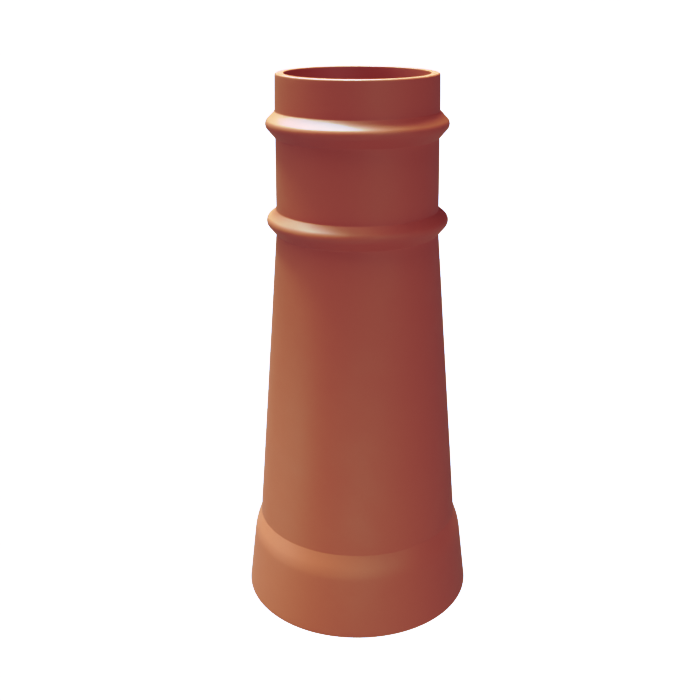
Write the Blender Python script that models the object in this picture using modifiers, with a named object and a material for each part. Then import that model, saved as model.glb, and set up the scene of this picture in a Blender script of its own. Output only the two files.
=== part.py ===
"""A tall round chimney pot in fired terracotta clay.

One turned piece: a plain neck, a waist between two raised beads, a long body that widens
downward and a heavier foot, open from top to bottom. It stands on the flat ring under its foot.
The origin is on the axis, level with the underside, and +Z is up. Units are metres.
"""

import math
from dataclasses import dataclass

import bpy
from mathutils import Vector

# Driving dimensions: the whole pot
POT_HEIGHT = 0.750
FOOT_RADIUS = 0.1654
RIM_RADIUS = 0.1058
BORE_RADIUS = 0.0940

# The neck, above the upper bead
NECK_RADIUS = 0.1071

# The upper bead: where its flanks meet the wall, and where they would meet each other
UPPER_BEAD_TOP = 0.7031
UPPER_BEAD_POINT = 0.6872
UPPER_BEAD_BOTTOM = 0.6688
UPPER_BEAD_RADIUS = 0.1230
UPPER_BEAD_NOSE = 0.0087

# The lower bead, with the waist's radius above it and the body's below it
LOWER_BEAD_TOP = 0.5746
LOWER_BEAD_POINT = 0.5618
LOWER_BEAD_BOTTOM = 0.5427
LOWER_BEAD_RADIUS = 0.1254
LOWER_BEAD_NOSE = 0.0087
WAIST_RADIUS = 0.1087
BODY_TOP_RADIUS = 0.1094

# The shoulder, where the foot stands out from the body
SHOULDER_HEIGHT = 0.1211
SHOULDER_RADIUS = 0.1442
FOOT_TURN_HEIGHT = 0.0952
FOOT_TURN_RADIUS = 0.1534
FOOT_TURN_ROUNDING = 0.085

# Inside, the bore is straight down to the lower bead and then flares to the foot
FLARE_TOP = 0.560
FOOT_BORE_RADIUS = 0.1370

# How far the edges and creases of the clay are softened
RIM_OUTER_ROUNDING = 0.0022
RIM_INNER_ROUNDING = 0.0012
CREASE_ROUNDING = 0.0020
FOOT_ROUNDING = 0.0015

# How finely round stretches are divided, the chord error being how far a flat lies inside its arc
RING_SEGMENTS = 80
CHORD_ERROR = 0.0001
MERGE_DISTANCE = 0.00005

# Fired clay: a warm brick red, dull, and not a metal
CLAY_COLOUR = (0.42, 0.115, 0.072, 1.0)
CLAY_ROUGHNESS = 0.5
CLAY_METALLIC = 0.0


@dataclass(frozen=True)
class Corner:
    """One corner of the profile: its radius, its height and how far it is rounded."""

    radius: float
    height: float
    rounding: float = 0.0

    def point(self):
        """Return the corner as a 2D vector of radius and height."""
        return Vector((self.radius, self.height))


def outer_corners():
    """Return the corners of the outer side, from the rim down to the foot."""
    return [
        Corner(RIM_RADIUS, POT_HEIGHT, RIM_OUTER_ROUNDING),
        Corner(NECK_RADIUS, UPPER_BEAD_TOP, CREASE_ROUNDING),
        Corner(UPPER_BEAD_RADIUS, UPPER_BEAD_POINT, UPPER_BEAD_NOSE),
        Corner(NECK_RADIUS, UPPER_BEAD_BOTTOM, CREASE_ROUNDING),
        Corner(WAIST_RADIUS, LOWER_BEAD_TOP, CREASE_ROUNDING),
        Corner(LOWER_BEAD_RADIUS, LOWER_BEAD_POINT, LOWER_BEAD_NOSE),
        Corner(BODY_TOP_RADIUS, LOWER_BEAD_BOTTOM, CREASE_ROUNDING),
        Corner(SHOULDER_RADIUS, SHOULDER_HEIGHT, CREASE_ROUNDING),
        Corner(FOOT_TURN_RADIUS, FOOT_TURN_HEIGHT, FOOT_TURN_ROUNDING),
        Corner(FOOT_RADIUS, 0.0, FOOT_ROUNDING),
    ]


def inner_corners():
    """Return the corners of the inner side, from the foot up to the rim."""
    return [
        Corner(FOOT_BORE_RADIUS, 0.0, FOOT_ROUNDING),
        Corner(BORE_RADIUS, FLARE_TOP),
        Corner(BORE_RADIUS, POT_HEIGHT, RIM_INNER_ROUNDING),
    ]


def rounded_corner(before, corner, after):
    """Return the points of one corner: an arc that touches both of its sides, or the corner."""
    tip = corner.point()
    if corner.rounding == 0.0:
        return [tip]
    to_before = (before.point() - tip).normalized()
    to_after = (after.point() - tip).normalized()
    half_angle = to_before.angle(to_after) / 2.0
    reach = corner.rounding / math.tan(half_angle)
    centre = tip + (to_before + to_after).normalized() * corner.rounding / math.sin(half_angle)
    start = tip + to_before * reach - centre
    end = tip + to_after * reach - centre
    start_angle = math.atan2(start.y, start.x)
    turn = math.remainder(math.atan2(end.y, end.x) - start_angle, math.tau)
    widest_step = 2.0 * math.acos(1.0 - CHORD_ERROR / corner.rounding)
    steps = max(2, math.ceil(abs(turn) / widest_step))
    angles = [start_angle + turn * step / steps for step in range(steps + 1)]
    return [centre + corner.rounding * Vector((math.cos(angle), math.sin(angle))) for angle in angles]


def profile_points(corners):
    """Return the closed profile through all the corners, each one rounded."""
    points = []
    for index, corner in enumerate(corners):
        before = corners[index - 1]
        after = corners[(index + 1) % len(corners)]
        points.extend(rounded_corner(before, corner, after))
    return points


def clear_scene():
    """Remove the objects that a new scene starts with."""
    for thing in list(bpy.data.objects):
        bpy.data.objects.remove(thing, do_unlink=True)


def make_clay():
    """Return the fired clay material."""
    clay = bpy.data.materials.new("terracotta")
    clay.use_nodes = True
    shader = clay.node_tree.nodes["Principled BSDF"]
    shader.inputs["Base Color"].default_value = CLAY_COLOUR
    shader.inputs["Roughness"].default_value = CLAY_ROUGHNESS
    shader.inputs["Metallic"].default_value = CLAY_METALLIC
    return clay


def make_pot(collection):
    """Turn the profile round the Z axis and return the pot."""
    points = profile_points(outer_corners() + inner_corners())
    verts = [(point.x, 0.0, point.y) for point in points]
    edges = [(index, (index + 1) % len(verts)) for index in range(len(verts))]
    mesh = bpy.data.meshes.new("chimney_pot")
    mesh.from_pydata(verts, edges, [])
    mesh.materials.append(make_clay())
    pot = bpy.data.objects.new("chimney_pot", mesh)
    collection.objects.link(pot)

    turning = pot.modifiers.new("turned", "SCREW")
    turning.axis = "Z"
    turning.angle = math.tau
    turning.steps = RING_SEGMENTS
    turning.render_steps = RING_SEGMENTS
    turning.use_merge_vertices = True
    turning.merge_threshold = MERGE_DISTANCE
    turning.use_smooth_shade = True
    return pot


def main():
    """Build the chimney pot in a collection of its own."""
    clear_scene()
    collection = bpy.data.collections.new("chimney_pot")
    bpy.context.scene.collection.children.link(collection)
    make_pot(collection)


main()
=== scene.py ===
"""A tall terracotta chimney pot, standing in a plain white studio.

The pot is one turned piece of fired clay. It is modelled from a ring at the rim, drawn down the
outside, under the foot and back up the bore, and its corners are then rounded. Lengths are metres.
"""

import logging
import math
from collections.abc import Callable
from dataclasses import dataclass
from enum import Enum

import bmesh
import bpy
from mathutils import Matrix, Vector


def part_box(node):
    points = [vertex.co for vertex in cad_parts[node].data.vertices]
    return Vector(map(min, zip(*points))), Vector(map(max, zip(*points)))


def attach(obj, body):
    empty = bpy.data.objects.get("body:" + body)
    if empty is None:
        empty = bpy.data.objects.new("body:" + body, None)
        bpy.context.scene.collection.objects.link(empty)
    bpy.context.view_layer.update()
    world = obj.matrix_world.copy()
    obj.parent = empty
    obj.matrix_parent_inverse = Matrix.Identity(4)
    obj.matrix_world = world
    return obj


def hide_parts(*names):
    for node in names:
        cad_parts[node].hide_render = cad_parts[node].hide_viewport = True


logging.basicConfig(level=logging.INFO, format="%(message)s")
log = logging.getLogger("chimney_pot")

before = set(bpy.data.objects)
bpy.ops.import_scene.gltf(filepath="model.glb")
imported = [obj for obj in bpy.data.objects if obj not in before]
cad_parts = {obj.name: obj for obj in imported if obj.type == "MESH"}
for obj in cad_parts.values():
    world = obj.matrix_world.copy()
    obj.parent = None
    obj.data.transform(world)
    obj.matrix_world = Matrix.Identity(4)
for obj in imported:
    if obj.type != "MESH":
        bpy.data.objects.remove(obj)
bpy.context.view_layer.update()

POT_NODE = "chimney_pot"
BODY = "root"
# The photograph's width and height in pixels
PHOTO_SIZE = 700.0

MILLIMETRE = 0.001
# Two places or lengths nearer than SAME are one and the same, and further apart than APART they differ
SAME = 0.05 * MILLIMETRE
APART = 0.1 * MILLIMETRE
# Seen from above, an upright edge and the axis span less than this, in square metres
NO_SWING = 1e-8

# Nearly all of a noise pattern's values lie between these
NOISE_LOW = 0.35
NOISE_HIGH = 0.65

# Pairs of a light level and the tone that it prints as
Curve = tuple[tuple[float, float], ...]


def srgb_to_linear(code: str) -> tuple[float, float, float, float]:
    """Turn an sRGB hex colour into the linear colour that a shader socket takes.

    Args:
        code: The colour as six hex digits after a hash sign.

    Returns:
        Red, green and blue from 0 to 1, and an alpha of 1.
    """
    channels = [int(code[start : start + 2], 16) / 255.0 for start in (1, 3, 5)]
    red, green, blue = (c / 12.92 if c <= 0.04045 else ((c + 0.055) / 1.055) ** 2.4 for c in channels)
    return (red, green, blue, 1.0)


def add_node(tree: bpy.types.NodeTree, kind: str, settings: dict, links: dict) -> bpy.types.Node:
    """Add a node, give it its settings and link its inputs.

    Args:
        tree: The node tree to add to.
        kind: Blender's name for the kind of node.
        settings: Values by the name of a property, or by the name or number of an input.
        links: Output sockets by the name or number of the input that each one feeds.

    Returns:
        The new node.
    """
    node = tree.nodes.new(kind)
    for name, value in settings.items():
        if isinstance(name, str) and hasattr(node, name):
            setattr(node, name, value)
        else:
            node.inputs[name].default_value = value
    for name, socket in links.items():
        tree.links.new(socket, node.inputs[name])
    return node


def grain_scale(size_mm: float) -> float:
    """Work out how finely a noise pattern has to repeat for grains of a given size.

    Args:
        size_mm: How many millimetres wide the grains are to be.

    Returns:
        The noise pattern's scale.
    """
    return 1.0 / (size_mm * MILLIMETRE)


def around_pot(azimuth_deg: float, distance: float, height: float) -> Vector:
    """Find a place round the pot.

    Args:
        azimuth_deg: Its bearing from the pot's axis: 0 is to the pot's right and 90 is behind it.
        distance: How far it is from the axis.
        height: Its height.

    Returns:
        The place.
    """
    azimuth = math.radians(azimuth_deg)
    return Vector((distance * math.cos(azimuth), distance * math.sin(azimuth), height))


def stand_lamp(lamp: bpy.types.Light, place: Vector, aim: Vector) -> bpy.types.Object:
    """Stand a lamp in the scene and turn it towards what it lights.

    Args:
        lamp: The lamp's own settings.
        place: Where it stands. For a sun, which is endlessly far away, only the direction counts.
        aim: The point that it shines at.

    Returns:
        The light's object.
    """
    light = bpy.data.objects.new(lamp.name, lamp)
    light.location = place
    light.rotation_euler = (place - aim).to_track_quat("Z", "Y").to_euler()
    bpy.context.scene.collection.objects.link(light)
    return light


class WallSide(Enum):
    """The two sides of the clay wall: the outside and the bore."""

    OUTER = "outer"
    INNER = "inner"


@dataclass(frozen=True)
class Terracotta:
    """Unglazed terracotta: fine red clay, smoothed on the wheel and fired to brick red.

    Smoothing draws the finest clay to the surface. It is dull, but where light grazes it, it has a
    satin sheen that is stronger than bare clay's, which the raised IOR gives. The kiln leaves
    broad, faint patches of a browner red. The clay's own grain is under half a millimetre wide, and
    is drawn coarser than that, so that it shows close to.
    """

    name: str = "fired_terracotta"
    clay_hex: str = "#B9664D"
    fired_hex: str = "#B7634A"
    grog_hex: str = "#C26E57"
    patch_mm: float = 110.0
    rubs_across_patch: float = 3.0
    grain_mm: float = 1.6
    turning_mm: float = 5.0
    turning_stretch: float = 50.0
    speck_start: float = 0.60
    speck_full: float = 0.80
    speck_strength: float = 0.25
    ior: float = 1.65
    roughness_low: float = 0.57
    roughness_high: float = 0.63
    relief_strength: float = 0.3
    grain_depth_mm: float = 0.05
    turning_depth_mm: float = 0.03

    def make(self) -> bpy.types.Material:
        """Build the clay material.

        Returns:
            The finished material.
        """
        material = bpy.data.materials.new(self.name)
        material.use_nodes = True
        tree = material.node_tree
        tree.nodes.clear()
        place = add_node(tree, "ShaderNodeTexCoord", {}, {}).outputs["Object"]
        colour = self._fired_colour(tree, place)
        roughness = self._satin(tree, place)
        normal = self._surface(tree, place)
        clay = add_node(
            tree,
            "ShaderNodeBsdfPrincipled",
            {"IOR": self.ior, "Metallic": 0.0},
            {"Base Color": colour, "Roughness": roughness, "Normal": normal},
        )
        add_node(tree, "ShaderNodeOutputMaterial", {}, {"Surface": clay.outputs["BSDF"]})
        return material

    def _fired_colour(self, tree: bpy.types.NodeTree, place: bpy.types.NodeSocket) -> bpy.types.NodeSocket:
        """Mix the kiln's broad patches and the specks of crushed fired clay into one colour.

        Args:
            tree: The material's nodes.
            place: Where each point is on the pot.

        Returns:
            The colour output.
        """
        patches = add_node(
            tree,
            "ShaderNodeTexNoise",
            {"Scale": grain_scale(self.patch_mm), "Detail": 2.0, "Roughness": 0.45},
            {"Vector": place},
        )
        fired = add_node(
            tree,
            "ShaderNodeMix",
            {"data_type": "RGBA", 6: srgb_to_linear(self.clay_hex), 7: srgb_to_linear(self.fired_hex)},
            {0: patches.outputs["Fac"]},
        )
        specks = add_node(
            tree,
            "ShaderNodeTexNoise",
            {"Scale": grain_scale(self.grain_mm), "Detail": 1.0},
            {"Vector": place},
        )
        few = add_node(
            tree,
            "ShaderNodeMapRange",
            {
                "From Min": self.speck_start,
                "From Max": self.speck_full,
                "To Min": 0.0,
                "To Max": self.speck_strength,
            },
            {"Value": specks.outputs["Fac"]},
        )
        grog = add_node(
            tree,
            "ShaderNodeMix",
            {"data_type": "RGBA", 7: srgb_to_linear(self.grog_hex)},
            {0: few.outputs["Result"], 6: fired.outputs[2]},
        )
        return grog.outputs[2]

    def _satin(self, tree: bpy.types.NodeTree, place: bpy.types.NodeSocket) -> bpy.types.NodeSocket:
        """Vary the dullness a little, as smoothing by hand leaves it.

        Args:
            tree: The material's nodes.
            place: Where each point is on the pot.

        Returns:
            The roughness output.
        """
        rubbed = add_node(
            tree,
            "ShaderNodeTexNoise",
            {"Scale": grain_scale(self.patch_mm / self.rubs_across_patch), "Detail": 3.0},
            {"Vector": place},
        )
        satin = add_node(
            tree,
            "ShaderNodeMapRange",
            {
                "From Min": NOISE_LOW,
                "From Max": NOISE_HIGH,
                "To Min": self.roughness_low,
                "To Max": self.roughness_high,
            },
            {"Value": rubbed.outputs["Fac"]},
        )
        return satin.outputs["Result"]

    def _surface(self, tree: bpy.types.NodeTree, place: bpy.types.NodeSocket) -> bpy.types.NodeSocket:
        """Raise the fine grain and the faint level lines that turning leaves.

        Args:
            tree: The material's nodes.
            place: Where each point is on the pot.

        Returns:
            The normal output.
        """
        grain = add_node(
            tree,
            "ShaderNodeTexNoise",
            {"Scale": grain_scale(self.grain_mm), "Detail": 3.0},
            {"Vector": place},
        )
        grainy = add_node(
            tree,
            "ShaderNodeBump",
            {"Strength": self.relief_strength, "Distance": self.grain_depth_mm * MILLIMETRE},
            {"Height": grain.outputs["Fac"]},
        )
        along = 1.0 / self.turning_stretch
        level = add_node(tree, "ShaderNodeMapping", {"Scale": (along, along, 1.0)}, {"Vector": place})
        lines = add_node(
            tree,
            "ShaderNodeTexNoise",
            {"Scale": grain_scale(self.turning_mm), "Detail": 2.0},
            {"Vector": level.outputs["Vector"]},
        )
        turned = add_node(
            tree,
            "ShaderNodeBump",
            {"Strength": self.relief_strength, "Distance": self.turning_depth_mm * MILLIMETRE},
            {"Height": lines.outputs["Fac"], "Normal": grainy.outputs["Normal"]},
        )
        return turned.outputs["Normal"]


@dataclass(frozen=True)
class PaleBoard:
    """White studio board, lit so evenly that it shows no shade of its own.

    It gives enough light to print as pure white. The print lifts green and blue, so the board gives
    less of them than of red, and no cold rim shows where the pot's edge crosses it.
    """

    name: str = "glowing_white_board"
    glow_hex: str = "#FFBEB7"
    glow: float = 1.3

    def make(self) -> bpy.types.Material:
        """Build the board material.

        Returns:
            The finished material.
        """
        material = bpy.data.materials.new(self.name)
        material.use_nodes = True
        tree = material.node_tree
        tree.nodes.clear()
        light = add_node(tree, "ShaderNodeEmission", self.shine(), {})
        add_node(tree, "ShaderNodeOutputMaterial", {}, {"Surface": light.outputs["Emission"]})
        return material

    def shine(self) -> dict:
        """Return the colour and strength of the board's light, as a shader's settings."""
        return {"Color": srgb_to_linear(self.glow_hex), "Strength": self.glow}


@dataclass(frozen=True)
class Corner:
    """One corner of the wall's section: where it is and how it is rounded."""

    radius: float
    height: float
    rounding: float
    facets: int = 8

    def point(self) -> Vector:
        """Return the corner as radius and height."""
        return Vector((self.radius, self.height))


@dataclass
class ChimneyPot:
    """The pot: one turned wall of clay, open from the foot to the rim."""

    height: float
    foot_radius: float
    rim_radius: float = 0.1058
    bore_radius: float = 0.0940
    neck_radius: float = 0.1071
    upper_bead_top: float = 0.7031
    upper_bead_point: float = 0.6872
    upper_bead_bottom: float = 0.6688
    upper_bead_radius: float = 0.1230
    lower_bead_top: float = 0.5746
    lower_bead_point: float = 0.5618
    lower_bead_bottom: float = 0.5427
    lower_bead_radius: float = 0.1254
    waist_radius: float = 0.1087
    body_top_radius: float = 0.1094
    shoulder_height: float = 0.1211
    shoulder_radius: float = 0.1442
    foot_turn_height: float = 0.0952
    foot_turn_radius: float = 0.1534
    flare_top: float = 0.560
    foot_bore_radius: float = 0.1370

    rim_outer_rounding: float = 0.0022
    rim_inner_rounding: float = 0.0012
    crease_rounding: float = 0.0020
    bead_nose: float = 0.0087
    foot_turn_rounding: float = 0.085
    foot_rounding: float = 0.0015
    flare_rounding: float = 0.060
    bead_facets: int = 16
    shoulder_facets: int = 6
    foot_turn_facets: int = 10
    bore_facets: int = 5
    rim_inner_facets: int = 6

    columns: int = 240
    outer_ring_spacing: float = 0.0045
    inner_ring_spacing: float = 0.020
    least_stretch: float = 1.5
    hand_unevenness: float = 0.00030
    unevenness_width: float = 0.09

    def corners(self) -> list[Corner]:
        """List the corners of the wall's section.

        Returns:
            The corners down the outside, and then up the bore.
        """
        nose, crease, foot = self.bead_nose, self.crease_rounding, self.foot_rounding
        turn, flare, rim = self.foot_turn_rounding, self.flare_rounding, self.rim_inner_rounding
        return [
            Corner(self.rim_radius, self.height, self.rim_outer_rounding),
            Corner(self.neck_radius, self.upper_bead_top, crease),
            Corner(self.upper_bead_radius, self.upper_bead_point, nose, self.bead_facets),
            Corner(self.neck_radius, self.upper_bead_bottom, crease),
            Corner(self.waist_radius, self.lower_bead_top, crease),
            Corner(self.lower_bead_radius, self.lower_bead_point, nose, self.bead_facets),
            Corner(self.body_top_radius, self.lower_bead_bottom, crease),
            Corner(self.shoulder_radius, self.shoulder_height, crease, self.shoulder_facets),
            Corner(self.foot_turn_radius, self.foot_turn_height, turn, self.foot_turn_facets),
            Corner(self.foot_radius, 0.0, foot),
            Corner(self.foot_bore_radius, 0.0, foot, self.bore_facets),
            Corner(self.bore_radius, self.flare_top, flare, self.bore_facets),
            Corner(self.bore_radius, self.height, rim, self.rim_inner_facets),
        ]

    def build(self, clay: bpy.types.Material) -> bpy.types.Object:
        """Model the pot and dress it.

        Args:
            clay: The fired clay material.

        Returns:
            The finished pot.
        """
        pot = self._draw_wall()
        self._round_corners()
        self._divide_stretches()
        bpy.ops.mesh.select_all(action="SELECT")
        bpy.ops.mesh.normals_make_consistent(inside=False)
        bpy.ops.object.mode_set(mode="OBJECT")
        self._make_uneven(pot)
        bpy.ops.object.shade_smooth()
        pot.data.materials.append(clay)
        return pot

    def _draw_wall(self) -> bpy.types.Object:
        """Draw a ring at the rim down the outside, under the foot and up the bore.

        Returns:
            The pot's object, left in edit mode with sharp corners.
        """
        corners = self.corners()
        first = corners[0]
        bpy.ops.object.select_all(action="DESELECT")
        bpy.ops.mesh.primitive_circle_add(vertices=self.columns, radius=first.radius)
        pot = bpy.context.active_object
        pot.name = "clay_pot"
        pot.data.name = "clay_pot"
        bpy.ops.object.mode_set(mode="EDIT")
        bpy.ops.mesh.select_mode(type="EDGE")
        bpy.ops.mesh.select_all(action="SELECT")
        bpy.ops.transform.translate(value=(0.0, 0.0, first.height))
        for above, corner in zip(corners, corners[1:]):
            drop = (0.0, 0.0, corner.height - above.height)
            bpy.ops.mesh.extrude_region_move(TRANSFORM_OT_translate={"value": drop})
            spread = corner.radius / above.radius
            bpy.ops.transform.resize(value=(spread, spread, 1.0), center_override=(0.0, 0.0, corner.height))
        self._select_edges(lambda a, b: self._on_ring(a, first) and self._on_ring(b, first), keep=True)
        bpy.ops.mesh.bridge_edge_loops()
        return pot

    def _round_corners(self) -> None:
        """Round each corner of the wall to its own radius."""
        corners = self.corners()
        for index, corner in enumerate(corners):
            to_before = (corners[index - 1].point() - corner.point()).normalized()
            to_after = (corners[(index + 1) % len(corners)].point() - corner.point()).normalized()
            reach = corner.rounding / math.tan(to_before.angle(to_after) / 2.0)
            self._select_edges(lambda a, b: self._on_ring(a, corner) and self._on_ring(b, corner))
            bpy.ops.mesh.bevel(offset=reach, offset_type="OFFSET", segments=corner.facets, affect="EDGES")

    def _divide_stretches(self) -> None:
        """Divide the long stretches between corners into even rings, finer outside than in the bore."""
        for side, spacing in (
            (WallSide.OUTER, self.outer_ring_spacing),
            (WallSide.INNER, self.inner_ring_spacing),
        ):
            for length in self._stretch_lengths(side, spacing):
                self._select_edges(
                    lambda a, b: self._is_upright(a, b, side) and abs((a - b).length - length) < SAME
                )
                bpy.ops.mesh.subdivide(number_cuts=round(length / spacing) - 1)

    def _stretch_lengths(self, side: WallSide, spacing: float) -> list[float]:
        """List the different lengths of the wall's long upright edges on one side.

        Args:
            side: The side of the wall.
            spacing: How far apart its rings are to be.

        Returns:
            The lengths, each one long enough to be worth dividing.
        """
        mesh = bmesh.from_edit_mesh(bpy.context.active_object.data)
        lengths: list[float] = []
        for edge in mesh.edges:
            start, end = edge.verts[0].co, edge.verts[1].co
            length = (start - end).length
            fresh = all(abs(length - known) > APART for known in lengths)
            if length > self.least_stretch * spacing and fresh and self._is_upright(start, end, side):
                lengths.append(length)
        return lengths

    def _is_upright(self, start: Vector, end: Vector, side: WallSide) -> bool:
        """Tell whether an edge runs up or down the wall on the given side, and not round it.

        Args:
            start: One end of the edge.
            end: Its other end.
            side: The side of the wall.

        Returns:
            True if it does. The edges across the underside don't count.
        """
        middle = (start + end) / 2.0
        underside = start.z < self.height / 2 and abs(start.z - end.z) < APART
        upright = abs(start.x * end.y - start.y * end.x) < NO_SWING
        outside = middle.xy.length > self._middle_radius(middle.z)
        return upright and not underside and outside == (side is WallSide.OUTER)

    def _middle_radius(self, height: float) -> float:
        """Work out where the middle of the clay wall is.

        Args:
            height: The height above the foot.

        Returns:
            The radius there, roughly halfway through the wall.
        """
        down = min(1.0, max(0.0, 1.0 - height / self.flare_top))
        wide = (self.foot_bore_radius + self.shoulder_radius) / 2.0
        narrow = (self.bore_radius + self.rim_radius) / 2.0
        return narrow + (wide - narrow) * down

    @staticmethod
    def _on_ring(point: Vector, corner: Corner) -> bool:
        """Tell whether a point lies on the ring that a corner draws round the pot."""
        return abs(point.z - corner.height) < SAME and abs(point.xy.length - corner.radius) < SAME

    @staticmethod
    def _select_edges(wanted: Callable[[Vector, Vector], bool], keep: bool = False) -> None:
        """Select the edges of the mesh being edited whose two ends pass a test.

        Args:
            wanted: The test, given the places of an edge's two ends.
            keep: Whether what is selected already stays selected.
        """
        if not keep:
            bpy.ops.mesh.select_all(action="DESELECT")
        data = bpy.context.active_object.data
        mesh = bmesh.from_edit_mesh(data)
        for edge in mesh.edges:
            if wanted(edge.verts[0].co, edge.verts[1].co):
                edge.select_set(True)
        bmesh.update_edit_mesh(data)

    def _make_uneven(self, pot: bpy.types.Object) -> None:
        """Move the clay by a fraction of a millimetre, as a mould and a wet sponge leave it.

        Args:
            pot: The pot's object.
        """
        swell = bpy.data.textures.new("hand_unevenness", "CLOUDS")
        swell.noise_scale = self.unevenness_width
        swell.noise_depth = 1
        moved = pot.modifiers.new("hand_unevenness", "DISPLACE")
        moved.texture = swell
        moved.texture_coords = "LOCAL"
        moved.strength = self.hand_unevenness
        moved.mid_level = 0.5
        bpy.ops.object.modifier_apply(modifier=moved.name)


@dataclass(frozen=True)
class SoftLight:
    """One far, soft studio light: where it shines from, how wide it looks and how bright it is.

    An azimuth of 0 is to the pot's right, 90 behind it, 180 to its left and 270 towards the camera.
    """

    name: str
    azimuth_deg: float
    height_deg: float
    width_deg: float
    strength: float

    def hang(self) -> bpy.types.Object:
        """Add the light to the scene.

        Returns:
            The light's object.
        """
        lamp = bpy.data.lights.new(self.name, "SUN")
        lamp.angle = math.radians(self.width_deg)
        lamp.energy = self.strength
        height = math.radians(self.height_deg)
        return stand_lamp(lamp, around_pot(self.azimuth_deg, math.cos(height), math.sin(height)), Vector())


@dataclass(frozen=True)
class NearLight:
    """One small soft lamp close to the pot, a little above the floor, turned towards its lower body.

    Being near, it lights the foot and the lower body more than the neck.
    """

    name: str
    azimuth_deg: float
    watts: float
    distance: float = 0.60
    height: float = 0.10
    aim_height: float = 0.20
    width: float = 0.30

    def hang(self) -> bpy.types.Object:
        """Add the light to the scene, where no camera sees the lamp itself.

        Returns:
            The light's object.
        """
        lamp = bpy.data.lights.new(self.name, "AREA")
        lamp.shape = "DISK"
        lamp.size = self.width
        lamp.energy = self.watts
        place = around_pot(self.azimuth_deg, self.distance, self.height)
        light = stand_lamp(lamp, place, Vector((0.0, 0.0, self.aim_height)))
        light.visible_camera = False
        return light


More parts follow.
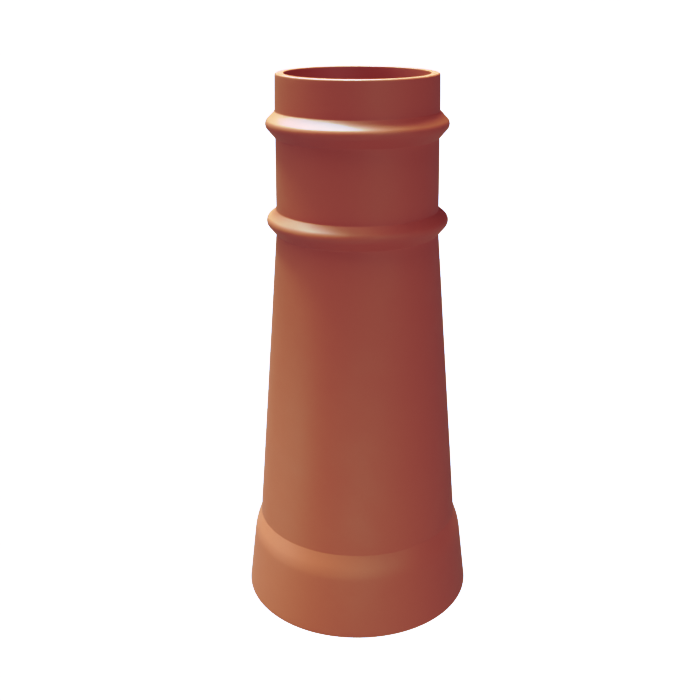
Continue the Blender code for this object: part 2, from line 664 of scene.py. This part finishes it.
@dataclass(frozen=True)
class Studio:
    """The plain white studio: its floor, its lights and the camera at the photograph's angle."""

    floor_width: float = 400.0
    floor_glow: float = 0.36
    horizon_blend: float = 0.1
    camera_distance: float = 1.2531
    camera_height: float = 0.8535
    camera_dip_deg: float = 21.13
    lens_mm: float = 48.55
    sensor_mm: float = 36.0
    axis_pixel: float = 357.4

    def lay_floor(self, board: bpy.types.Material) -> bpy.types.Object:
        """Lay the pale floor under the pot.

        Args:
            board: The floor's material.

        Returns:
            The floor.
        """
        bpy.ops.object.select_all(action="DESELECT")
        bpy.ops.mesh.primitive_plane_add(size=self.floor_width)
        floor = bpy.context.active_object
        floor.name = "pale_floor"
        floor.data.materials.append(board)
        # The room's glow from below is the light that the floor throws back, so the pot doesn't see the floor
        floor.visible_diffuse = False
        floor.visible_glossy = False
        floor.visible_shadow = False
        return floor

    def light_room(self, board: PaleBoard) -> None:
        """Let the floor's white glow light the pot from below, and hang a pale backdrop all round.

        Args:
            board: What the backdrop is made of. Only the camera sees it.
        """
        world = bpy.data.worlds.new("white_room")
        bpy.context.scene.world = world
        world.use_nodes = True
        tree = world.node_tree
        tree.nodes.clear()
        way = add_node(tree, "ShaderNodeTexCoord", {}, {}).outputs["Generated"]
        upwards = add_node(tree, "ShaderNodeSeparateXYZ", {}, {0: way}).outputs["Z"]
        glow = add_node(
            tree,
            "ShaderNodeMapRange",
            {
                "From Min": -self.horizon_blend,
                "From Max": self.horizon_blend,
                "To Min": self.floor_glow,
                "To Max": 0.0,
            },
            {"Value": upwards},
        )
        white = {"Color": srgb_to_linear("#FFFFFF")}
        below = add_node(tree, "ShaderNodeBackground", white, {"Strength": glow.outputs["Result"]})
        backdrop = add_node(tree, "ShaderNodeBackground", board.shine(), {})
        ray = add_node(tree, "ShaderNodeLightPath", {}, {})
        seen = add_node(
            tree,
            "ShaderNodeMixShader",
            {},
            {0: ray.outputs["Is Camera Ray"], 1: below.outputs[0], 2: backdrop.outputs[0]},
        )
        add_node(tree, "ShaderNodeOutputWorld", {}, {"Surface": seen.outputs[0]})

    def hang_lights(self) -> list[bpy.types.Object]:
        """Hang the studio's lights.

        Two narrow lights high behind the pot, to its left, draw the white sheen along the beads. A
        wide one lights its left side like a window, two from the front fill its shade, and two low
        lamps light its foot.

        Returns:
            The lights' objects.
        """
        lights = (
            SoftLight("back_key_light", azimuth_deg=110.0, height_deg=79.0, width_deg=10.0, strength=2.8),
            SoftLight("left_key_light", azimuth_deg=155.0, height_deg=72.0, width_deg=10.0, strength=2.2),
            SoftLight("left_window_light", azimuth_deg=170.0, height_deg=42.0, width_deg=50.0, strength=1.55),
            SoftLight("front_top_light", azimuth_deg=265.0, height_deg=75.0, width_deg=24.0, strength=0.70),
            SoftLight("front_fill_light", azimuth_deg=302.0, height_deg=20.0, width_deg=24.0, strength=0.80),
            NearLight("left_low_lamp", azimuth_deg=200.0, watts=0.34),
            NearLight("front_low_lamp", azimuth_deg=270.0, watts=0.38),
        )
        return [light.hang() for light in lights]

    def place_camera(self) -> bpy.types.Object:
        """Stand the camera where the photograph was taken from.

        Returns:
            The camera.
        """
        lens = bpy.data.cameras.new("camera")
        lens.lens = self.lens_mm
        lens.sensor_width = self.sensor_mm
        lens.shift_x = (PHOTO_SIZE / 2.0 - self.axis_pixel) / PHOTO_SIZE
        camera = bpy.data.objects.new("camera", lens)
        camera.location = (0.0, -self.camera_distance, self.camera_height)
        camera.rotation_euler = (math.radians(90.0 - self.camera_dip_deg), 0.0, 0.0)
        bpy.context.scene.collection.objects.link(camera)
        bpy.context.scene.camera = camera
        return camera


@dataclass(frozen=True)
class Print:
    """How light becomes colour in the picture: red as it is, green and blue with more contrast.

    This keeps the shaded clay a deep red, turns the lit clay towards tan, and lets the brightest
    sheen and the board go white.
    """

    green: Curve = ((0.08, 0.046), (0.14, 0.141), (0.22, 0.30), (0.38, 0.79), (0.66, 1.0))
    blue: Curve = (
        (0.05, 0.037),
        (0.08, 0.056),
        (0.14, 0.144),
        (0.185, 0.265),
        (0.225, 0.43),
        (0.28, 0.80),
        (0.60, 1.0),
    )

    def make(self) -> None:
        """Set the picture's view and its colour curves."""
        scene = bpy.context.scene
        scene.view_settings.view_transform = "Standard"
        scene.view_settings.look = "None"
        scene.use_nodes = True
        tree = scene.node_tree
        tree.nodes.clear()
        picture = add_node(tree, "CompositorNodeRLayers", {}, {}).outputs["Image"]
        curves = add_node(tree, "CompositorNodeCurveRGB", {}, {"Image": picture})
        _, green, blue, _ = curves.mapping.curves
        for curve, pairs in ((green, self.green), (blue, self.blue)):
            for light, tone in pairs:
                curve.points.new(light, tone)
        curves.mapping.update()
        add_node(tree, "CompositorNodeComposite", {}, {"Image": curves.outputs["Image"]})


def main() -> None:
    """Build the studio and the pot."""
    studio = Studio()
    board = PaleBoard()
    studio.place_camera()
    studio.light_room(board)
    lights = studio.hang_lights()
    Print().make()
    floor = studio.lay_floor(board.make())
    log.info("studio: %d lights", len(lights))

    low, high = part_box(POT_NODE)
    pot = ChimneyPot(height=high[2], foot_radius=(high[0] - low[0]) / 2.0)
    clay_pot = pot.build(Terracotta().make())
    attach(clay_pot, BODY)
    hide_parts(POT_NODE)
    log.info("pot: %d faces", len(clay_pot.data.polygons))


if __name__ == "__main__":
    main()
